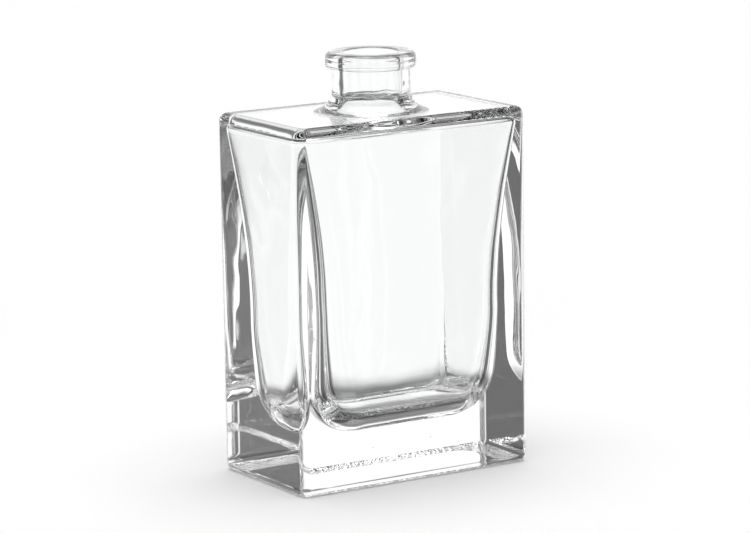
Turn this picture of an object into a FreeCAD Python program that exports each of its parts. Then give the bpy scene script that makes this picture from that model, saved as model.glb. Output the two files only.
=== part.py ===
"""Empty aftershave bottle: one piece of clear pressed-and-blown glass with a crimp neck.

Millimetres, +Z up.  The origin is the middle of the underside, +X runs along the broad
faces and +Y from the front face to the back face.  The outside is what the mould gives:
a block with small radii, a short neck and a bead for a 15 mm crimped pump.  The inside is
what the blown air leaves: thin broad walls, a thick floor, and corners that thicken
towards the floor.
"""
import FreeCAD
import Part

import math
import os

# ---------------------------------------------------------------- outside of the body
BODY_WIDTH = 44.1        # along X
BODY_DEPTH = 25.6        # along Y
BODY_HEIGHT = 60.0       # underside to shoulder
CORNER_RADIUS = 1.45     # the four upright edges
SHOULDER_RADIUS = 1.4    # round the shoulder
HEEL_RADIUS = 1.2        # round the underside

# ---------------------------------------------------------------- underside
BEARING_WIDTH = 3.4      # flat ring that the bottle stands on
PUSH_UP_DEPTH = 0.5      # hollow inside that ring
PUSH_UP_SLOPE = 2.2      # width of the ring's inner slope

# ---------------------------------------------------------------- crimp neck
NECK_RADIUS = 6.45       # barrel under the bead
NECK_ROOT_RADIUS = 3.3   # fillet where the neck leaves the shoulder
NECK_LENGTH = 7.0        # shoulder to the bead's underside
BEAD_RADIUS = 7.45
BEAD_HEIGHT = 2.6
BEAD_LOWER_RADIUS = 0.45
BEAD_UPPER_RADIUS = 0.9
BORE_RADIUS = 4.7
MOUTH_RADIUS = 0.45      # round the mouth's inner edge
BORE_ROOT_RADIUS = 2.6   # where the bore opens into the cavity

# ---------------------------------------------------------------- inside of the body
FLOOR_THICKNESS = 8.3    # solid glass under the cavity
SHOULDER_THICKNESS = 1.5
BROAD_WALL = 1.2         # front and back, at the top of the cavity
NARROW_WALL = 1.1        # left and right, at the top of the cavity
BROAD_TAPER = 2.2        # extra broad wall, reached at the bend
NARROW_TAPER = 3.3       # extra narrow wall, reached at the bend
BEND = 27.0              # height under which the walls stay upright
TOP_CORNER_RADIUS = 1.5  # upright corners of the cavity, at the top
BEND_CORNER_RADIUS = 4.4 # the same corners at the bend
FOOT_CORNER_RADIUS = 7.5 # the same corners at the floor
CEILING_ROUND = 1.6      # rounding where the walls meet the ceiling
FLOOR_FLAT = 3.0         # front to back, the flat strip left in the rounded floor
FLAT_CORNER_RADIUS = 1.0 # corners of the flat floor and ceiling
WALL_SECTIONS = 12
ROUND_SECTIONS = 6

BEAD_BOTTOM = BODY_HEIGHT + NECK_LENGTH
BOTTLE_HEIGHT = BEAD_BOTTOM + BEAD_HEIGHT
CAVITY_TOP = BODY_HEIGHT - SHOULDER_THICKNESS
FLOOR_ROUND = BODY_DEPTH / 2 - BROAD_WALL - BROAD_TAPER - FLOOR_FLAT / 2


def vector(x, y, z):
    return FreeCAD.Vector(x, y, z)


def edges_at(shape, height):
    """Edges of shape that lie flat at one height."""
    return [e for e in shape.Edges
            if abs(e.BoundBox.ZMin - height) < 1e-6 and abs(e.BoundBox.ZMax - height) < 1e-6]


def moulded_block():
    """The body's outside, rounded along its upright edges, shoulder and heel."""
    block = Part.makeBox(BODY_WIDTH, BODY_DEPTH, BODY_HEIGHT,
                         vector(-BODY_WIDTH / 2, -BODY_DEPTH / 2, 0))
    upright = [e for e in block.Edges if e.BoundBox.ZLength > BODY_HEIGHT / 2]
    block = block.makeFillet(CORNER_RADIUS, upright)
    block = block.makeFillet(SHOULDER_RADIUS, edges_at(block, BODY_HEIGHT))
    return block.makeFillet(HEEL_RADIUS, edges_at(block, 0))


def neck_profile():
    """Half outline of the neck and bead in the XZ plane, closed along the bottle's axis."""
    low = BODY_HEIGHT - SHOULDER_THICKNESS / 2
    bend = NECK_ROOT_RADIUS
    half = math.sqrt(0.5)
    low_r, up_r = BEAD_LOWER_RADIUS, BEAD_UPPER_RADIUS

    def at(x, z):
        return vector(x, 0, z)

    def corner(x, z, radius, start, end):
        """Quarter arc about (x, z) from one compass angle to another, in degrees."""
        points = [at(x + radius * math.cos(math.radians(a)), z + radius * math.sin(math.radians(a)))
                  for a in (start, (start + end) / 2, end)]
        return Part.Arc(*points).toShape()

    root = Part.Arc(at(NECK_RADIUS + bend, BODY_HEIGHT),
                    at(NECK_RADIUS + bend * (1 - half), BODY_HEIGHT + bend * (1 - half)),
                    at(NECK_RADIUS, BODY_HEIGHT + bend)).toShape()
    points = [at(0, low), at(NECK_RADIUS + bend, low), at(NECK_RADIUS + bend, BODY_HEIGHT)]
    edges = [Part.makeLine(a, b) for a, b in zip(points, points[1:])]
    edges += [
        root,
        Part.makeLine(at(NECK_RADIUS, BODY_HEIGHT + bend), at(NECK_RADIUS, BEAD_BOTTOM)),
        Part.makeLine(at(NECK_RADIUS, BEAD_BOTTOM), at(BEAD_RADIUS - low_r, BEAD_BOTTOM)),
        corner(BEAD_RADIUS - low_r, BEAD_BOTTOM + low_r, low_r, -90, 0),
        Part.makeLine(at(BEAD_RADIUS, BEAD_BOTTOM + low_r), at(BEAD_RADIUS, BOTTLE_HEIGHT - up_r)),
        corner(BEAD_RADIUS - up_r, BOTTLE_HEIGHT - up_r, up_r, 0, 90),
        Part.makeLine(at(BEAD_RADIUS - up_r, BOTTLE_HEIGHT), at(0, BOTTLE_HEIGHT)),
        Part.makeLine(at(0, BOTTLE_HEIGHT), at(0, low)),
    ]
    return Part.Wire(Part.__sortEdges__(edges))


def revolved(profile):
    return Part.Face(profile).revolve(vector(0, 0, 0), vector(0, 0, 1), 360)


def rounded_ring(half_width, half_depth, radius, z):
    """Wire of a rounded rectangle round the axis: four straights joined by quarter arcs."""
    half = math.sqrt(0.5)
    edges = []
    for quarter in range(4):
        turn = math.pi / 2 * quarter
        across, along = (half_width, half_depth) if quarter % 2 == 0 else (half_depth, half_width)

        def at(x, y):
            """A point given in this quarter's own axes, which turn with it."""
            return vector(x * math.cos(turn) - y * math.sin(turn),
                          x * math.sin(turn) + y * math.cos(turn), z)

        start, end = at(across, -along + radius), at(across, along - radius)
        middle = at(across - radius * (1 - half), along - radius * (1 - half))
        edges.append(Part.makeLine(start, end))
        edges.append(Part.Arc(end, middle, at(across - radius, along)).toShape())
    return Part.Wire(edges)


def push_up():
    """The shallow hollow of the underside, sloped all round, to cut away."""
    half_width = BODY_WIDTH / 2 - BEARING_WIDTH
    half_depth = BODY_DEPTH / 2 - BEARING_WIDTH
    low = rounded_ring(half_width, half_depth, BEARING_WIDTH, 0)
    high = rounded_ring(half_width - PUSH_UP_SLOPE, half_depth - PUSH_UP_SLOPE,
                        BEARING_WIDTH - PUSH_UP_SLOPE / 2, PUSH_UP_DEPTH)
    return Part.makeLoft([low, high], True, True)


def blend(start, end, share):
    """The value part of the way from one to another."""
    return start + (end - start) * share


def wall_at(z):
    """Half width, half depth and corner radius of the cavity's upright wall at a height."""
    fall = math.sin(min((CAVITY_TOP - z) / (CAVITY_TOP - BEND), 1) * math.pi / 2)
    foot = (1 - math.cos(max(0, BEND - z) / (BEND - FLOOR_THICKNESS) * math.pi)) / 2
    radius = blend(TOP_CORNER_RADIUS, BEND_CORNER_RADIUS, fall)
    return (BODY_WIDTH / 2 - NARROW_WALL - NARROW_TAPER * fall,
            BODY_DEPTH / 2 - BROAD_WALL - BROAD_TAPER * fall,
            blend(radius, FOOT_CORNER_RADIUS, foot))


def end_sections(end, inward, bend):
    """Sections round one end of the cavity, from the flat to the upright wall."""
    sections = []
    for i in range(ROUND_SECTIONS + 1):
        turn = math.pi / 2 * i / ROUND_SECTIONS
        z = end + inward * bend * (1 - math.cos(turn))
        inset = bend * (1 - math.sin(turn))
        half_width, half_depth, radius = wall_at(z)
        radius = blend(radius, FLAT_CORNER_RADIUS, inset / bend)
        sections.append(rounded_ring(half_width - inset, half_depth - inset, radius, z))
    return sections


def blown_cavity():
    """The air inside the body: a flat floor and ceiling, joined by tapering walls."""
    low, high = FLOOR_THICKNESS + FLOOR_ROUND, CAVITY_TOP - CEILING_ROUND
    sections = end_sections(FLOOR_THICKNESS, 1, FLOOR_ROUND)
    for i in range(1, WALL_SECTIONS):
        z = low + (high - low) * i / WALL_SECTIONS
        sections.append(rounded_ring(*wall_at(z), z))
    sections += reversed(end_sections(CAVITY_TOP, -1, CEILING_ROUND))
    return Part.makeLoft(sections, True, False)


def hollow():
    """All of the air inside the bottle: the cavity and the bore, rounded where they meet."""
    height = BOTTLE_HEIGHT - CAVITY_TOP + 2 * CEILING_ROUND
    bore = Part.makeCylinder(BORE_RADIUS, height, vector(0, 0, CAVITY_TOP - CEILING_ROUND))
    inside = blown_cavity().fuse(bore)
    return inside.makeFillet(BORE_ROOT_RADIUS, bore_edges(inside, CAVITY_TOP))


def bore_edges(shape, height):
    """The edge of the bore at one height."""
    return [e for e in edges_at(shape, height)
            if abs(e.Length - 2 * math.pi * BORE_RADIUS) < 1e-3]


def glass_bottle():
    """The whole bottle as one solid of glass."""
    body = moulded_block().fuse(revolved(neck_profile())).removeSplitter()
    bottle = body.cut(push_up()).cut(hollow())
    return bottle.makeFillet(MOUTH_RADIUS, bore_edges(bottle, BOTTLE_HEIGHT))


def main():
    os.makedirs("parts", exist_ok=True)
    bottle = glass_bottle()
    bottle.exportStep("parts/glass_bottle.step")
    print("glass %.2f cm3, valid %s, solids %d" % (bottle.Volume / 1000, bottle.isValid(),
                                                 len(bottle.Solids)))


main()
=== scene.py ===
"""Looks for the empty aftershave bottle: one piece of clear glass on a pale floor.

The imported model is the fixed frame.  The glass is modelled again as one fine mesh: a
moulded block, a turned neck with a crimp bead, and the blown hollow inside, whose walls
waver a little as real glass does.  Sizes are in metres unless a name says otherwise.
"""

import logging
import math
from dataclasses import dataclass, field
from enum import Enum
from typing import Callable, Iterable

import bmesh
import bpy
from mathutils import Matrix, Vector

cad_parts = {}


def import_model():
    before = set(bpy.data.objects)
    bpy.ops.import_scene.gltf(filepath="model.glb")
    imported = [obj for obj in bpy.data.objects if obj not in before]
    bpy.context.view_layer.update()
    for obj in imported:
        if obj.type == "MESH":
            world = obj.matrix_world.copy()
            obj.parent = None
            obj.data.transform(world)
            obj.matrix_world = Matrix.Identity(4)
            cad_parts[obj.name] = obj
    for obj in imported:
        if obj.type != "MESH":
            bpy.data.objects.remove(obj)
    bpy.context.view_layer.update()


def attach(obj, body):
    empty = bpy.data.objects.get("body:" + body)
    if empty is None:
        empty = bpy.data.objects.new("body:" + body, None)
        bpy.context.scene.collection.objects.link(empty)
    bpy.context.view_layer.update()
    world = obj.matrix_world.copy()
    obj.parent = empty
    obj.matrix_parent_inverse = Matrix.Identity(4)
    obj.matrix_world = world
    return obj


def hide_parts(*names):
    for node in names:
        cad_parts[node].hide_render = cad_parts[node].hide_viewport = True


MM = 0.001
NODE = "glass_bottle"
BODY = "root"
OVERLAP = 1.0 * MM  # how far a tool reaches past the face that it joins or cuts
LEVEL = 1e-8  # two heights closer than this are one
NEAR = 1e-6  # two points closer than this are one

log = logging.getLogger("aftershave_bottle")


class Side(Enum):
    """Which end of the hollow a run of sections rounds."""

    FLOOR = 1
    CEILING = -1


class Boolean(Enum):
    """What one closed mesh does to another."""

    JOIN = "UNION"
    CUT = "DIFFERENCE"


# ------------------------------------------------------------------ small tools


def deselect_all() -> None:
    """Leave object mode with nothing selected and nothing active."""
    if bpy.context.object and bpy.context.object.mode != "OBJECT":
        bpy.ops.object.mode_set(mode="OBJECT")
    bpy.ops.object.select_all(action="DESELECT")
    bpy.context.view_layer.objects.active = None


def activate(piece: bpy.types.Object) -> None:
    """Select one object alone and make it active.

    Args:
        piece: the object to work on.
    """
    deselect_all()
    piece.select_set(True)
    bpy.context.view_layer.objects.active = piece


def select_edges(piece: bpy.types.Object, wanted: Callable[[bmesh.types.BMEdge], bool]) -> int:
    """Select the edges of the mesh in edit mode that pass a test.

    Args:
        piece: the object in edit mode.
        wanted: the test on one edge.

    Returns:
        How many edges were selected.
    """
    bpy.ops.mesh.select_mode(type="EDGE")
    bpy.ops.mesh.select_all(action="DESELECT")
    mesh = bmesh.from_edit_mesh(piece.data)
    count = 0
    for edge in mesh.edges:
        if wanted(edge):
            edge.select_set(True)
            count += 1
    mesh.select_flush_mode()
    bmesh.update_edit_mesh(piece.data)
    return count


def apply_modifiers(piece: bpy.types.Object) -> None:
    """Apply every modifier of a piece, in order.

    Args:
        piece: the object, which keeps no live modifier.
    """
    activate(piece)
    for modifier in list(piece.modifiers):
        bpy.ops.object.modifier_apply(modifier=modifier.name)


def combine(target: bpy.types.Object, tool: bpy.types.Object, operation: Boolean) -> None:
    """Join or cut a closed mesh with another one, and remove the tool.

    Args:
        target: the mesh that stays.
        tool: the mesh that is used up.
        operation: whether the tool is joined on or cut away.
    """
    boolean = target.modifiers.new("combine", "BOOLEAN")
    boolean.operation = operation.value
    boolean.solver = "EXACT"
    boolean.object = tool
    apply_modifiers(target)
    mesh = tool.data
    bpy.data.objects.remove(tool)
    bpy.data.meshes.remove(mesh)


def blend(start: float, end: float, share: float) -> float:
    """The value part of the way from one to another."""
    return start + (end - start) * share


def arc(centre: tuple[float, float], radius: float, start: float, end: float,
        steps: int) -> list[tuple[float, float]]:
    """Points on an arc in a profile plane.

    Args:
        centre: middle of the arc, as radius and height.
        radius: its radius.
        start: first compass angle, in degrees.
        end: last compass angle, in degrees.
        steps: number of straight pieces.

    Returns:
        The points, both ends included.
    """
    return [(centre[0] + radius * math.cos(math.radians(start + (end - start) * i / steps)),
             centre[1] + radius * math.sin(math.radians(start + (end - start) * i / steps)))
            for i in range(steps + 1)]


def turned(name: str, profile: list[tuple[float, float]], steps: int) -> bpy.types.Object:
    """A closed solid of revolution about the bottle's axis.

    Args:
        name: the new object's name.
        profile: radius and height of each point, the first and last on the axis.
        steps: pieces round the axis.

    Returns:
        The solid, with outward normals.
    """
    deselect_all()
    bpy.ops.mesh.primitive_circle_add(vertices=3, radius=1, location=(0, 0, 0))
    piece = bpy.context.object
    piece.name = name
    bpy.ops.object.mode_set(mode="EDIT")
    bpy.ops.mesh.delete(type="VERT")
    mesh = bmesh.from_edit_mesh(piece.data)
    points = [mesh.verts.new((radius, 0, height)) for radius, height in profile]
    for first, second in zip(points, points[1:]):
        mesh.edges.new((first, second))
    bmesh.update_edit_mesh(piece.data)
    bpy.ops.mesh.select_all(action="SELECT")
    bpy.ops.mesh.spin(steps=steps, angle=2 * math.pi, center=(0, 0, 0), axis=(0, 0, 1))
    bpy.ops.mesh.select_all(action="SELECT")
    bpy.ops.mesh.remove_doubles(threshold=NEAR)
    bpy.ops.mesh.normals_make_consistent(inside=False)
    bpy.ops.object.mode_set(mode="OBJECT")
    return piece


@dataclass(frozen=True)
class Ring:
    """One rounded rectangle round the bottle's axis, whose far corner (+X, +Y) may be tighter."""

    half_width: float
    half_depth: float
    radius: float
    height: float
    x: float = 0.0
    y: float = 0.0
    far_radius: float | None = None


def select_rings(piece: bpy.types.Object, *heights: float) -> None:
    """Select the edges that lie at any of some heights.

    Args:
        piece: the object in edit mode.
        *heights: the heights.
    """
    select_edges(piece, lambda e: any(all(abs(v.co.z - z) < LEVEL for v in e.verts)
                                      for z in heights))


def select_corners(piece: bpy.types.Object, ring: Ring, far: bool) -> None:
    """Select, in edit mode, corners of a ring that is still square.

    Args:
        piece: the object in edit mode.
        ring: the ring, whose corners are not rounded yet.
        far: true for the far corner alone, false for the others.
    """
    bpy.ops.mesh.select_mode(type="VERT")
    bpy.ops.mesh.select_all(action="DESELECT")
    mesh = bmesh.from_edit_mesh(piece.data)
    for vert in mesh.verts:
        if abs(vert.co.z - ring.height) > LEVEL or len(vert.link_edges) != 2:
            continue
        x, y = vert.co.x - ring.x, vert.co.y - ring.y
        at_corner = (abs(abs(x) - ring.half_width) < NEAR
                     and abs(abs(y) - ring.half_depth) < NEAR)
        if at_corner and (x > 0 and y > 0) == far:
            vert.select_set(True)
    bmesh.update_edit_mesh(piece.data)


def add_ring(piece: bpy.types.Object, ring: Ring, corner_steps: int, side_cuts: int,
             end_cuts: int) -> None:
    """Add one rounded rectangle of edges in edit mode, cut evenly along its straights.

    Args:
        piece: the object in edit mode.
        ring: the rectangle's size, place and corners.
        corner_steps: pieces in each rounded corner.
        side_cuts: cuts along each straight that runs along X.
        end_cuts: cuts along each straight that runs along Y.
    """
    bpy.ops.mesh.select_mode(type="VERT")
    bpy.ops.mesh.select_all(action="DESELECT")
    bpy.ops.mesh.primitive_plane_add(size=2, location=(ring.x, ring.y, ring.height))
    bpy.ops.transform.resize(value=(ring.half_width, ring.half_depth, 1))
    far_radius = ring.far_radius or ring.radius
    for far, radius in ((False, ring.radius), (True, far_radius)):
        select_corners(piece, ring, far)
        bpy.ops.mesh.bevel(offset=radius, segments=corner_steps, affect="VERTICES")
    select_rings(piece, ring.height)
    bpy.ops.mesh.delete(type="ONLY_FACE")
    for axis, half, cuts in ((0, ring.half_width, side_cuts), (1, ring.half_depth, end_cuts)):
        run = half - max(ring.radius, far_radius)
        select_edges(piece, lambda e: abs(e.verts[0].co.z - ring.height) < LEVEL
                     and abs(e.verts[0].co[axis] - e.verts[1].co[axis]) > run)
        bpy.ops.mesh.subdivide(number_cuts=cuts)


def lofted(name: str, rings: list[Ring], corner_steps: int, side_cuts: int,
           end_cuts: int) -> bpy.types.Object:
    """A closed solid through a stack of rings.

    Args:
        name: the new object's name.
        rings: the rings, bottom to top, no two at one height.
        corner_steps: pieces in each rounded corner.
        side_cuts: cuts along each straight that runs along X.
        end_cuts: cuts along each straight that runs along Y.

    Returns:
        The solid, with outward normals.
    """
    deselect_all()
    bpy.ops.mesh.primitive_plane_add(size=2, location=(0, 0, 0))
    piece = bpy.context.object
    piece.name = name
    bpy.ops.object.mode_set(mode="EDIT")
    bpy.ops.mesh.delete(type="VERT")
    for lower, ring in zip([None, *rings], rings):
        add_ring(piece, ring, corner_steps, side_cuts, end_cuts)
        if lower:
            select_rings(piece, lower.height, ring.height)
            bpy.ops.mesh.bridge_edge_loops()
    for ring in (rings[0], rings[-1]):
        select_rings(piece, ring.height)
        bpy.ops.mesh.edge_face_add()
    bpy.ops.mesh.select_all(action="SELECT")
    bpy.ops.mesh.normals_make_consistent(inside=False)
    bpy.ops.object.mode_set(mode="OBJECT")
    return piece


@dataclass(frozen=True)
class Wave:
    """How far a blown wall wanders from its smooth shape, and over what length."""

    height: float
    length: float
    fade: float = 1.5 * MM


def waver(piece: bpy.types.Object, wave: Wave, low: float, high: float) -> None:
    """Push the wall between two heights in and out by a soft noise.

    Args:
        piece: the mesh to shape.
        wave: size of the noise.
        low: the wall below this stays put.
        high: the wall above this stays put.
    """
    group = piece.vertex_groups.new(name="wall")
    for vert in piece.data.vertices:
        inside = min(vert.co.z - low, high - vert.co.z)
        if inside > 0:
            group.add([vert.index], min(1.0, inside / wave.fade), "REPLACE")
    clouds = bpy.data.textures.new("waver", "CLOUDS")
    clouds.noise_scale = wave.length
    clouds.noise_basis = "ORIGINAL_PERLIN"
    displace = piece.modifiers.new("waver", "DISPLACE")
    displace.texture = clouds
    displace.vertex_group = group.name
    displace.strength = 2 * wave.height
    apply_modifiers(piece)
    piece.vertex_groups.clear()


# ------------------------------------------------------------------ the bottle


@dataclass
class MouldedBlock:
    """The outside of the body, as the mould leaves it."""

    width: float = 44.1 * MM
    depth: float = 25.6 * MM
    height: float = 60.0 * MM
    corner_radius: float = 1.45 * MM
    shoulder_radius: float = 1.4 * MM
    heel_radius: float = 1.2 * MM
    bevel_steps: int = 8
    bearing_width: float = 3.4 * MM
    push_up_depth: float = 0.5 * MM
    push_up_slope: float = 2.2 * MM

    def build(self) -> bpy.types.Object:
        """Make the block, with every outer edge rounded and the underside hollowed.

        Returns:
            The closed block.
        """
        deselect_all()
        bpy.ops.mesh.primitive_cube_add(size=1, location=(0, 0, 0))
        block = bpy.context.object
        block.name = "bottle_glass"
        bpy.ops.object.mode_set(mode="EDIT")
        bpy.ops.mesh.select_all(action="SELECT")
        bpy.ops.transform.resize(value=(self.width, self.depth, self.height))
        bpy.ops.transform.translate(value=(0, 0, self.height / 2))
        select_edges(block, lambda e: abs(e.verts[0].co.z - e.verts[1].co.z) > self.height / 2)
        bpy.ops.mesh.bevel(offset=self.corner_radius, segments=self.bevel_steps)
        self._round(block, self.height, self.shoulder_radius)
        self._round(block, 0.0, self.heel_radius)
        bpy.ops.object.mode_set(mode="OBJECT")
        combine(block, self._push_up(), Boolean.CUT)
        return block

    def _round(self, block: bpy.types.Object, height: float, radius: float) -> None:
        """Bevel the ring of edges round the block at one height.

        Args:
            block: the block in edit mode.
            height: where the ring is.
            radius: of the rounding.
        """
        select_edges(block, lambda e: all(abs(v.co.z - height) < NEAR for v in e.verts))
        bpy.ops.mesh.bevel(offset=radius, segments=self.bevel_steps)

    def _push_up(self) -> bpy.types.Object:
        """Make the shallow hollow inside the ring that the bottle stands on.

        Returns:
            The closed solid to cut away.
        """
        half_width = self.width / 2 - self.bearing_width
        half_depth = self.depth / 2 - self.bearing_width
        radius, slope = self.bearing_width, self.push_up_slope
        rings = [Ring(half_width, half_depth, radius, -OVERLAP),
                 Ring(half_width, half_depth, radius, 0.0),
                 Ring(half_width - slope, half_depth - slope, radius - slope / 2,
                      self.push_up_depth)]
        return lofted("push_up", rings, self.bevel_steps, 1, 1)


@dataclass
class CrimpNeck:
    """The short round neck, its bead for a crimped pump, and the bore through it."""

    body_height: float
    radius: float = 6.45 * MM
    root_radius: float = 3.3 * MM
    length: float = 7.0 * MM
    bead_radius: float = 7.45 * MM
    bead_height: float = 2.6 * MM
    bead_lower_radius: float = 0.45 * MM
    bead_upper_radius: float = 0.9 * MM
    parting_rise: float = 0.07 * MM
    parting_half_height: float = 0.16 * MM
    parting_outline: tuple[tuple[float, float], ...] = ((-1, 0), (-0.4, 1), (0.4, 1), (1, 0))
    bore_radius: float = 4.7 * MM
    bore_root_radius: float = 2.6 * MM
    mouth_radius: float = 0.45 * MM
    bore_sections: int = 14
    bore_overlap: float = 0.05 * MM
    wave: Wave = Wave(0.11 * MM, 3.2 * MM)
    steps: int = 96
    arc_steps: int = 8

    @property
    def top(self) -> float:
        """Height of the mouth."""
        return self.body_height + self.length + self.bead_height

    def outside(self) -> bpy.types.Object:
        """The solid neck and bead, which reach a little way into the body.

        Returns:
            The closed turned solid.
        """
        low = self.body_height - OVERLAP
        bead_low = self.body_height + self.length
        lower, upper = self.bead_lower_radius, self.bead_upper_radius
        skirt = self.radius + self.root_radius
        profile = [(0.0, low), (skirt, low)]
        profile += arc((skirt, self.body_height + self.root_radius), self.root_radius,
                       270, 180, self.arc_steps)
        profile += [(self.radius, bead_low)]
        profile += arc((self.bead_radius - lower, bead_low + lower), lower, -90, 0, self.arc_steps)
        parting = (bead_low + lower + self.top - upper) / 2
        profile += [(self.bead_radius + rise * self.parting_rise,
                     parting + place * self.parting_half_height)
                    for place, rise in self.parting_outline]
        profile += arc((self.bead_radius - upper, self.top - upper), upper, 0, 90, self.arc_steps)
        profile += [(0.0, self.top)]
        return turned("neck_outside", profile, self.steps)

    def bore(self, ceiling: float) -> bpy.types.Object:
        """The air in the neck, flared at both ends.

        Args:
            ceiling: height of the top of the cavity.

        Returns:
            The closed turned solid to cut away.
        """
        root, mouth = self.bore_root_radius, self.mouth_radius
        profile = [(0.0, ceiling - OVERLAP), (self.bore_radius + root, ceiling - OVERLAP)]
        profile += arc((self.bore_radius + root, ceiling + root - self.bore_overlap), root,
                       270, 180, self.arc_steps)
        low, high = profile[-1][1], self.top - mouth
        profile += [(self.bore_radius, blend(low, high, i / self.bore_sections))
                    for i in range(1, self.bore_sections)]
        profile += arc((self.bore_radius + mouth, high), mouth, 180, 90, self.arc_steps)
        profile += [(self.bore_radius + mouth, self.top + OVERLAP), (0.0, self.top + OVERLAP)]
        bore = turned("neck_bore", profile, self.steps)
        waver(bore, self.wave, ceiling, high)
        return bore


@dataclass
class BlownCavity:
    """The air in the body: thin broad walls, a thick floor and softly rounded corners."""

    block: MouldedBlock
    floor_thickness: float = 8.3 * MM
    shoulder_thickness: float = 1.5 * MM
    broad_wall: float = 1.2 * MM
    narrow_wall: float = 1.1 * MM
    broad_taper: float = 2.2 * MM
    narrow_taper: float = 3.3 * MM
    bend: float = 27.0 * MM
    top_drift: tuple[float, float] = (0.2 * MM, -0.1 * MM)
    foot_drift: tuple[float, float] = (0.8 * MM, -0.7 * MM)
    corner_radii: tuple[float, float, float] = (1.6 * MM, 4.6 * MM, 8.2 * MM)
    far_radii: tuple[float, float, float] = (0.4 * MM, 0.5 * MM, 2.2 * MM)
    ceiling_round: float = 1.6 * MM
    floor_round: float = 7.9 * MM
    flat_corner_radius: float = 1.0 * MM
    wave: Wave = Wave(0.12 * MM, 8.0 * MM)
    wall_sections: int = 36
    round_sections: int = 12
    corner_steps: int = 12
    side_cuts: int = 22
    end_cuts: int = 12

    @property
    def ceiling(self) -> float:
        """Height of the cavity's flat top."""
        return self.block.height - self.shoulder_thickness

    def wall_at(self, height: float) -> Ring:
        """The upright wall's ring at a height.

        Args:
            height: height over the base.

        Returns:
            The ring, before the rounds at the floor and the ceiling.
        """
        share = min((self.ceiling - height) / (self.ceiling - self.bend), 1.0)
        fall = math.sin(share * math.pi / 2)
        below = max(0.0, self.bend - height) / (self.bend - self.floor_thickness)
        foot = (1 - math.cos(below * math.pi)) / 2
        radius, far = (blend(blend(top, middle, fall), low, foot)
                       for top, middle, low in (self.corner_radii, self.far_radii))
        x, y = (blend(top, low, fall) for top, low in zip(self.top_drift, self.foot_drift))
        return Ring(self.block.width / 2 - self.narrow_wall - self.narrow_taper * fall,
                    self.block.depth / 2 - self.broad_wall - self.broad_taper * fall,
                    radius, height, x, y, far)

    def _end(self, side: Side) -> list[Ring]:
        """Rings round one end, from the flat to the wall.

        Args:
            side: which end.

        Returns:
            The rings, the flat's own ring first.
        """
        if side is Side.FLOOR:
            end, bend = self.floor_thickness, self.floor_round
        else:
            end, bend = self.ceiling, self.ceiling_round
        rings = []
        for i in range(self.round_sections + 1):
            turn = math.pi / 2 * i / self.round_sections
            inset = bend * (1 - math.sin(turn))
            wall = self.wall_at(end + side.value * bend * (1 - math.cos(turn)))
            radius, far = (blend(radius, self.flat_corner_radius, inset / bend)
                           for radius in (wall.radius, wall.far_radius))
            rings.append(Ring(wall.half_width - inset, wall.half_depth - inset, radius,
                              wall.height, wall.x, wall.y, far))
        return rings

    def rings(self) -> list[Ring]:
        """Every ring of the cavity.

        Returns:
            The rings, bottom to top.
        """
        low = self.floor_thickness + self.floor_round
        high = self.ceiling - self.ceiling_round
        walls = [self.wall_at(low + (high - low) * i / self.wall_sections)
                 for i in range(1, self.wall_sections)]
        return self._end(Side.FLOOR) + walls + self._end(Side.CEILING)[::-1]

    def build(self) -> bpy.types.Object:
        """Bridge the rings into one skin.

        Returns:
            The closed solid of air.
        """
        cavity = lofted("cavity", self.rings(), self.corner_steps, self.side_cuts, self.end_cuts)
        waver(cavity, self.wave, self.floor_thickness, self.ceiling)
        return cavity


def grain_group() -> bpy.types.NodeTree:
    """The soft random height that the glass and the paper share.

    Returns:
        A node group with a vector and a scale going in and a height coming out.
    """
    group = bpy.data.node_groups.get("soft_grain")
    if group:
        return group
    group = bpy.data.node_groups.new("soft_grain", "ShaderNodeTree")
    group.interface.new_socket("Vector", in_out="INPUT", socket_type="NodeSocketVector")
    group.interface.new_socket("Scale", in_out="INPUT", socket_type="NodeSocketFloat")
    group.interface.new_socket("Height", in_out="OUTPUT", socket_type="NodeSocketFloat")
    start, end = group.nodes.new("NodeGroupInput"), group.nodes.new("NodeGroupOutput")
    noise = group.nodes.new("ShaderNodeTexNoise")
    noise.inputs["Detail"].default_value = 2.0
    group.links.new(start.outputs["Vector"], noise.inputs["Vector"])
    group.links.new(start.outputs["Scale"], noise.inputs["Scale"])
    group.links.new(noise.outputs["Fac"], end.inputs["Height"])
    return group


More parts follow.
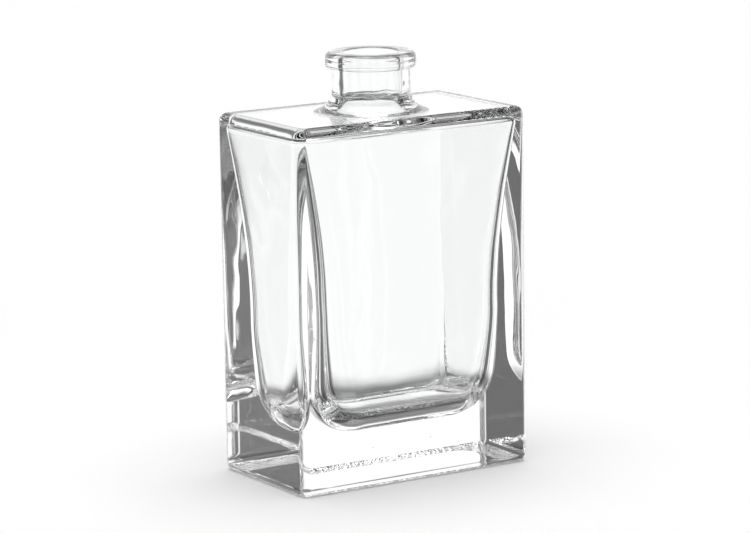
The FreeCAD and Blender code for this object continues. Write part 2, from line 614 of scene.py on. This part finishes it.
class Wiring:
    """The nodes of one material or surround, and the few ways they are joined here."""

    def __init__(self, tree: bpy.types.NodeTree) -> None:
        """Keep hold of a tree.

        Args:
            tree: where new nodes go.
        """
        self.nodes = tree.nodes
        self.links = tree.links

    def add(self, kind: str, operation: str | None = None,
            **inputs: float | tuple | bpy.types.NodeSocket) -> bpy.types.Node:
        """Add a node.

        Args:
            kind: the node's type.
            operation: what a maths node does, if it is one.
            **inputs: for each input, its name with _ for a space, and a value or a source.

        Returns:
            The node.
        """
        node = self.nodes.new(kind)
        if operation:
            node.operation = operation
        for name, value in inputs.items():
            self.feed(node.inputs[name.replace("_", " ")], value)
        return node

    def feed(self, socket: bpy.types.NodeSocket,
             value: float | tuple | bpy.types.NodeSocket) -> None:
        """Link a source to an input, or set the input to a plain value.

        Args:
            socket: the input.
            value: the plain value, or the source.
        """
        if isinstance(value, bpy.types.NodeSocket):
            self.links.new(value, socket)
        else:
            socket.default_value = value

    def sums(self, operation: str, *values: float | bpy.types.NodeSocket) -> bpy.types.NodeSocket:
        """Work one sum on numbers.

        Args:
            operation: the sum.
            *values: its terms, in order, each a number or a source.

        Returns:
            The result.
        """
        node = self.add("ShaderNodeMath", operation)
        for socket, value in zip(node.inputs, values):
            self.feed(socket, value)
        return node.outputs["Value"]

    def vectors(self, operation: str, output: str,
                *values: tuple | bpy.types.NodeSocket) -> bpy.types.NodeSocket:
        """Work one sum on vectors.

        Args:
            operation: the sum.
            output: the name of the output that holds the result.
            *values: its terms, in order, each a vector or a source.

        Returns:
            The result.
        """
        node = self.add("ShaderNodeVectorMath", operation)
        for socket, value in zip(node.inputs, values):
            self.feed(socket, value)
        return node.outputs[output]

    def grain(self, place: bpy.types.NodeSocket, scale: float) -> bpy.types.NodeSocket:
        """Place the shared grain.

        Args:
            place: where on the surface.
            scale: how many grains to a metre, about.

        Returns:
            The grain's height.
        """
        node = self.nodes.new("ShaderNodeGroup")
        node.node_tree = grain_group()
        self.feed(node.inputs["Scale"], scale)
        self.feed(node.inputs["Vector"], place)
        return node.outputs["Height"]


@dataclass(frozen=True)
class ClearGlass:
    """Colourless flint glass: fire polished, faintly rippled, and stippled where it stands."""

    ior: float = 1.52
    colour: tuple[float, float, float, float] = (0.985, 0.99, 0.99, 1.0)
    ripple_scale: float = 130.0
    ripple_depth: float = 0.012 * MM
    handling_scale: float = 420.0
    handling_from: float = 0.5
    handling_full: float = 0.8
    handling_roughness: float = 0.004
    stipple_scale: float = 1500.0
    stipple_depth: float = 0.35 * MM
    stipple_top: float = 0.55 * MM
    stipple_inside: tuple[float, float] = (18.7 * MM, 9.5 * MM)
    stipple_roughness: float = 0.03

    def material(self) -> bpy.types.Material:
        """Build the glass.

        Returns:
            The node material.
        """
        glass = bpy.data.materials.new("clear_flint_glass")
        glass.use_nodes = True
        wiring = Wiring(glass.node_tree)
        place = wiring.add("ShaderNodeTexCoord").outputs["Object"]
        heel = self._heel(wiring, place)
        for name, value in (("Base Color", self.colour), ("IOR", self.ior),
                            ("Transmission Weight", 1.0), ("Metallic", 0.0),
                            ("Roughness", self._roughness(wiring, place, heel)),
                            ("Normal", self._relief(wiring, place, heel))):
            wiring.feed(wiring.nodes["Principled BSDF"].inputs[name], value)
        return glass

    def _heel(self, wiring: Wiring, place: bpy.types.NodeSocket) -> bpy.types.NodeSocket:
        """Find the ring that the bottle stands on, with its rounded rim.

        Args:
            wiring: where the nodes go.
            place: where on the surface.

        Returns:
            One on the ring, fading out upward and zero inside it.
        """
        height = wiring.add("ShaderNodeSeparateXYZ", Vector=place).outputs["Z"]
        low = wiring.add("ShaderNodeMapRange", Value=height, From_Min=self.stipple_top / 2,
                         From_Max=self.stipple_top, To_Min=1.0, To_Max=0.0)
        reach = wiring.vectors("DIVIDE", "Vector", place, (*self.stipple_inside, 1.0))
        parts = wiring.add("ShaderNodeSeparateXYZ",
                           Vector=wiring.vectors("ABSOLUTE", "Vector", reach))
        further = wiring.sums("MAXIMUM", parts.outputs["X"], parts.outputs["Y"])
        outside = wiring.sums("GREATER_THAN", further, 1.0)
        return wiring.sums("MULTIPLY", outside, low.outputs["Result"])

    def _roughness(self, wiring: Wiring, place: bpy.types.NodeSocket,
                   heel: bpy.types.NodeSocket) -> bpy.types.NodeSocket:
        """Polished glass with faint handling marks, a little rougher on the heel.

        Args:
            wiring: where the nodes go.
            place: where on the surface.
            heel: one on the heel.

        Returns:
            The roughness.
        """
        marks = wiring.add("ShaderNodeMapRange", Value=wiring.grain(place, self.handling_scale),
                           From_Min=self.handling_from, From_Max=self.handling_full,
                           To_Max=self.handling_roughness)
        return wiring.sums("MULTIPLY_ADD", heel, self.stipple_roughness, marks.outputs["Result"])

    def _relief(self, wiring: Wiring, place: bpy.types.NodeSocket,
                heel: bpy.types.NodeSocket) -> bpy.types.NodeSocket:
        """Slow ripples everywhere and small pits on the heel.

        Args:
            wiring: where the nodes go.
            place: where on the surface.
            heel: one on the heel.

        Returns:
            The bent normal.
        """
        ripple = wiring.add("ShaderNodeBump", Distance=self.ripple_depth,
                            Height=wiring.grain(place, self.ripple_scale))
        cells = wiring.add("ShaderNodeTexVoronoi", Scale=self.stipple_scale, Vector=place)
        pits = wiring.sums("MULTIPLY", cells.outputs["Distance"], heel)
        stipple = wiring.add("ShaderNodeBump", Distance=self.stipple_depth, Height=pits,
                             Normal=ripple.outputs["Normal"])
        return stipple.outputs["Normal"]


@dataclass(frozen=True)
class PalePaper:
    """Matt white paper with a fine tooth, which light that leaves the glass looks past."""

    colour: tuple[float, float, float, float] = (0.9, 0.9, 0.9, 1.0)
    roughness: float = 0.9
    specular: float = 0.1
    glow: float = 0.14
    tooth_scale: float = 900.0
    tooth_depth: float = 0.02 * MM

    def material(self) -> bpy.types.Material:
        """Build the paper.

        Returns:
            The node material.
        """
        paper = bpy.data.materials.new("pale_paper")
        paper.use_nodes = True
        wiring = Wiring(paper.node_tree)
        place = wiring.add("ShaderNodeTexCoord").outputs["Object"]
        tooth = wiring.add("ShaderNodeBump", Distance=self.tooth_depth,
                           Height=wiring.grain(place, self.tooth_scale))
        shader = wiring.nodes["Principled BSDF"]
        for name, value in (("Base Color", self.colour), ("Roughness", self.roughness),
                            ("Specular IOR Level", self.specular),
                            ("Emission Color", (1, 1, 1, 1)), ("Emission Strength", self.glow),
                            ("Normal", tooth.outputs["Normal"])):
            wiring.feed(shader.inputs[name], value)
        path = wiring.add("ShaderNodeLightPath")
        clear = wiring.add("ShaderNodeBsdfTransparent")
        mix = wiring.add("ShaderNodeMixShader", Fac=path.outputs["Is Transmission Ray"])
        wiring.feed(mix.inputs[1], shader.outputs["BSDF"])
        wiring.feed(mix.inputs[2], clear.outputs["BSDF"])
        wiring.feed(wiring.nodes["Material Output"].inputs["Surface"], mix.outputs["Shader"])
        return paper


@dataclass(frozen=True)
class Seed:
    """A small bubble shut inside the glass, drawn out upward by its stretch."""

    place: tuple[float, float, float]
    radius: float
    stretch: float = 1.0


@dataclass
class Seeds:
    """The bubbles of this bottle: a blister in the neck and specks in the thick glass."""

    segments: int = 16
    ring_count: int = 10
    bubbles: tuple[Seed, ...] = (
        Seed((4.4 * MM, -3.7 * MM, 64.4 * MM), 0.30 * MM, 1.7),
        Seed((-19.6 * MM, -11.6 * MM, 27.5 * MM), 0.22 * MM, 1.8),
        Seed((-19.0 * MM, -11.3 * MM, 25.8 * MM), 0.15 * MM, 1.5),
        Seed((-19.8 * MM, -11.4 * MM, 23.6 * MM), 0.12 * MM, 1.3),
        Seed((8.0 * MM, 2.0 * MM, 4.5 * MM), 0.14 * MM),
        Seed((-6.0 * MM, -5.0 * MM, 5.4 * MM), 0.11 * MM),
        Seed((13.0 * MM, -7.0 * MM, 3.6 * MM), 0.10 * MM))

    def build(self) -> bpy.types.Object:
        """Make every bubble.

        Returns:
            One object of closed bubbles, to cut away.
        """
        deselect_all()
        pieces = []
        for seed in self.bubbles:
            bpy.ops.mesh.primitive_uv_sphere_add(segments=self.segments,
                                                 ring_count=self.ring_count,
                                                 radius=seed.radius, location=(0, 0, 0))
            bpy.ops.object.mode_set(mode="EDIT")
            bpy.ops.transform.resize(value=(1, 1, seed.stretch))
            bpy.ops.transform.translate(value=seed.place)
            bpy.ops.object.mode_set(mode="OBJECT")
            pieces.append(bpy.context.object)
        for piece in pieces:
            piece.select_set(True)
        bpy.ops.object.join()
        return bpy.context.object


@dataclass
class Bottle:
    """The whole bottle: block, neck and hollow as one piece of glass."""

    block: MouldedBlock = field(default_factory=MouldedBlock)
    finish: ClearGlass = ClearGlass()
    pane_weight: int = 50

    def build(self) -> bpy.types.Object:
        """Model the glass and dress it.

        Returns:
            The finished piece.
        """
        neck = CrimpNeck(self.block.height)
        cavity = BlownCavity(self.block)
        glass = self.block.build()
        combine(glass, neck.outside(), Boolean.JOIN)
        hollow = cavity.build()
        combine(hollow, neck.bore(cavity.ceiling), Boolean.JOIN)
        combine(glass, hollow, Boolean.CUT)
        combine(glass, Seeds().build(), Boolean.CUT)
        activate(glass)
        bpy.ops.object.shade_smooth()
        glass.data.materials.clear()
        glass.data.materials.append(self.finish.material())
        weighted = glass.modifiers.new("flat_panes", "WEIGHTED_NORMAL")
        weighted.weight = self.pane_weight
        apply_modifiers(glass)
        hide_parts(NODE)
        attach(glass, BODY)
        return glass


# ------------------------------------------------------------------ the stage


@dataclass(frozen=True)
class Card:
    """A tall white card that stands at one bearing round the bottle, in degrees from +Y to +X."""

    bearing: float
    half_angle: float = 5.0
    softness: float = 3.5
    level: float = 0.8


@dataclass
class Surround:
    """A ring of white cards in a dim room, with soft light overhead."""

    cards: tuple[Card, ...] = (
        Card(32.3, 41.0, 14.0, 1.0), Card(90.0), Card(135.0), Card(180.0), Card(-135.0),
        Card(-90.0), Card(-45.0))
    room: float = 0.11
    strength: float = 1.1
    overhead: float = 3.0
    overhead_from: float = 0.8
    overhead_full: float = 0.92
    heights: tuple[tuple[float, float], ...] = (
        (-0.7, 0.2), (-0.4, 1.0), (0.36, 1.0), (0.46, 0.2), (0.8, 0.2), (0.92, 1.0))

    def build(self) -> None:
        """Make the world that lights the bottle."""
        world = bpy.data.worlds.new("studio")
        bpy.context.scene.world = world
        world.use_nodes = True
        wiring = Wiring(world.node_tree)
        towards = wiring.add("ShaderNodeTexCoord").outputs["Generated"]
        flat = wiring.vectors("MULTIPLY", "Vector", towards, (1, 1, 0))
        bearing = wiring.vectors("NORMALIZE", "Vector", flat)
        height = wiring.add("ShaderNodeSeparateXYZ", Vector=towards).outputs["Z"]
        round_about = self._card_light(wiring, bearing)
        above = self._fade(wiring, height, (self.overhead_from, self.overhead_full), (0.0, 1.0))
        mix = wiring.add("ShaderNodeMix", Factor=above, A=round_about, B=self.overhead)
        level = wiring.sums("MULTIPLY", mix.outputs["Result"], self._at_height(wiring, height))
        background = wiring.nodes["Background"]
        wiring.feed(background.inputs["Color"], (1, 1, 1, 1))
        wiring.feed(background.inputs["Strength"], wiring.sums("MULTIPLY", level, self.strength))

    def _card_light(self, wiring: Wiring,
                    bearing: bpy.types.NodeSocket) -> bpy.types.NodeSocket:
        """The light of the cards and of the room between them.

        Args:
            wiring: where the nodes go.
            bearing: the level direction looked in.

        Returns:
            The brightest card's level there, or the room's.
        """
        brightest = self.room
        for card in self.cards:
            angle = math.radians(card.bearing)
            aligned = wiring.vectors("DOT_PRODUCT", "Value", bearing,
                                     (math.sin(angle), math.cos(angle), 0))
            edge = math.cos(math.radians(card.half_angle + card.softness))
            inside = math.cos(math.radians(card.half_angle))
            light = self._fade(wiring, aligned, (edge, inside), (self.room, card.level))
            brightest = wiring.sums("MAXIMUM", brightest, light)
        return brightest

    def _at_height(self, wiring: Wiring, height: bpy.types.NodeSocket) -> bpy.types.NodeSocket:
        """How bright the surround is at each height.

        Args:
            wiring: where the nodes go.
            height: -1 straight down to 1 straight up.

        Returns:
            The share of the light that is left.
        """
        share = wiring.add("ShaderNodeMapRange", Value=height, From_Min=-1.0)
        ramp = wiring.add("ShaderNodeValToRGB", Fac=share.outputs["Result"])
        ramp.color_ramp.interpolation = "EASE"
        stops = ramp.color_ramp.elements
        while len(stops) < len(self.heights):
            stops.new(1.0)
        for stop, (place, grey) in zip(stops, self.heights):
            stop.position = (place + 1) / 2
            stop.color = (grey, grey, grey, 1)
        return ramp.outputs["Color"]

    def _fade(self, wiring: Wiring, value: bpy.types.NodeSocket, between: tuple[float, float],
              levels: tuple[float, float]) -> bpy.types.NodeSocket:
        """A smooth step from one level to another.

        Args:
            wiring: where the nodes go.
            value: what the step follows.
            between: the values where it starts and ends.
            levels: the levels before and after it.

        Returns:
            The level.
        """
        fade = wiring.add("ShaderNodeMapRange", Value=value, From_Min=between[0],
                          From_Max=between[1], To_Min=levels[0], To_Max=levels[1])
        fade.interpolation_type = "SMOOTHSTEP"
        return fade.outputs["Result"]


@dataclass
class LongLens:
    """The camera: a long lens, a little above the shoulder and to the left of the front."""

    sensor_width: float = 36.0
    focal_length: float = 173.9
    clip_end: float = 20.0
    azimuth: float = -32.31
    elevation: float = 10.8
    roll: float = -0.91
    aim: tuple[float, float, float] = (3.48 * MM, 5.13 * MM, 32.5 * MM)
    distance: float = 0.6052

    def build(self) -> None:
        """Place the camera and make it the scene's own."""
        data = bpy.data.cameras.new("camera")
        data.sensor_width = self.sensor_width
        data.lens = self.focal_length
        data.clip_end = self.clip_end
        camera = bpy.data.objects.new("camera", data)
        bpy.context.scene.collection.objects.link(camera)
        turn = (Matrix.Rotation(math.radians(self.azimuth), 4, "Z")
                @ Matrix.Rotation(math.radians(90 - self.elevation), 4, "X")
                @ Matrix.Rotation(math.radians(self.roll), 4, "Z"))
        away = turn @ Vector((0, 0, self.distance))
        camera.matrix_world = Matrix.Translation(Vector(self.aim) + away) @ turn
        bpy.context.scene.camera = camera


@dataclass
class Studio:
    """A pale floor, the surround that lights it, and the camera."""

    floor_size: float = 8.0
    floor_gap: float = 0.05 * MM
    paper: PalePaper = PalePaper()
    surround: Surround = field(default_factory=Surround)
    lens: LongLens = field(default_factory=LongLens)

    def build(self) -> bpy.types.Object:
        """Set the stage.

        Returns:
            The floor.
        """
        floor = self._floor()
        self.surround.build()
        self.lens.build()
        return floor

    def _floor(self) -> bpy.types.Object:
        """Lay the wide pale floor just under the bottle.

        Returns:
            The floor.
        """
        deselect_all()
        bpy.ops.mesh.primitive_plane_add(size=self.floor_size, location=(0, 0, 0))
        floor = bpy.context.object
        floor.name = "floor"
        bpy.ops.object.mode_set(mode="EDIT")
        bpy.ops.mesh.select_all(action="SELECT")
        bpy.ops.transform.translate(value=(0, 0, -self.floor_gap))
        bpy.ops.object.mode_set(mode="OBJECT")
        floor.data.materials.append(self.paper.material())
        return floor


@dataclass(frozen=True)
class LightPaths:
    """How often light may bounce, enough for a thick clear bottle."""

    total: int = 24
    transmission: int = 24
    glossy: int = 16
    transparent: int = 16

    def apply(self, scene: bpy.types.Scene) -> None:
        """Give the limits to a scene, and show its light as it is.

        Args:
            scene: the scene.
        """
        scene.view_settings.view_transform = "Standard"
        scene.cycles.max_bounces = self.total
        scene.cycles.transmission_bounces = self.transmission
        scene.cycles.glossy_bounces = self.glossy
        scene.cycles.transparent_max_bounces = self.transparent


def main() -> None:
    """Build the bottle and the stage round it."""
    logging.basicConfig(level=logging.INFO, format="%(name)s: %(message)s")
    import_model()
    for piece in (Bottle().build(), Studio().build()):
        log.info("%s has %d faces", piece.name, len(piece.data.polygons))
    LightPaths().apply(bpy.context.scene)


if __name__ == "__main__":
    main()
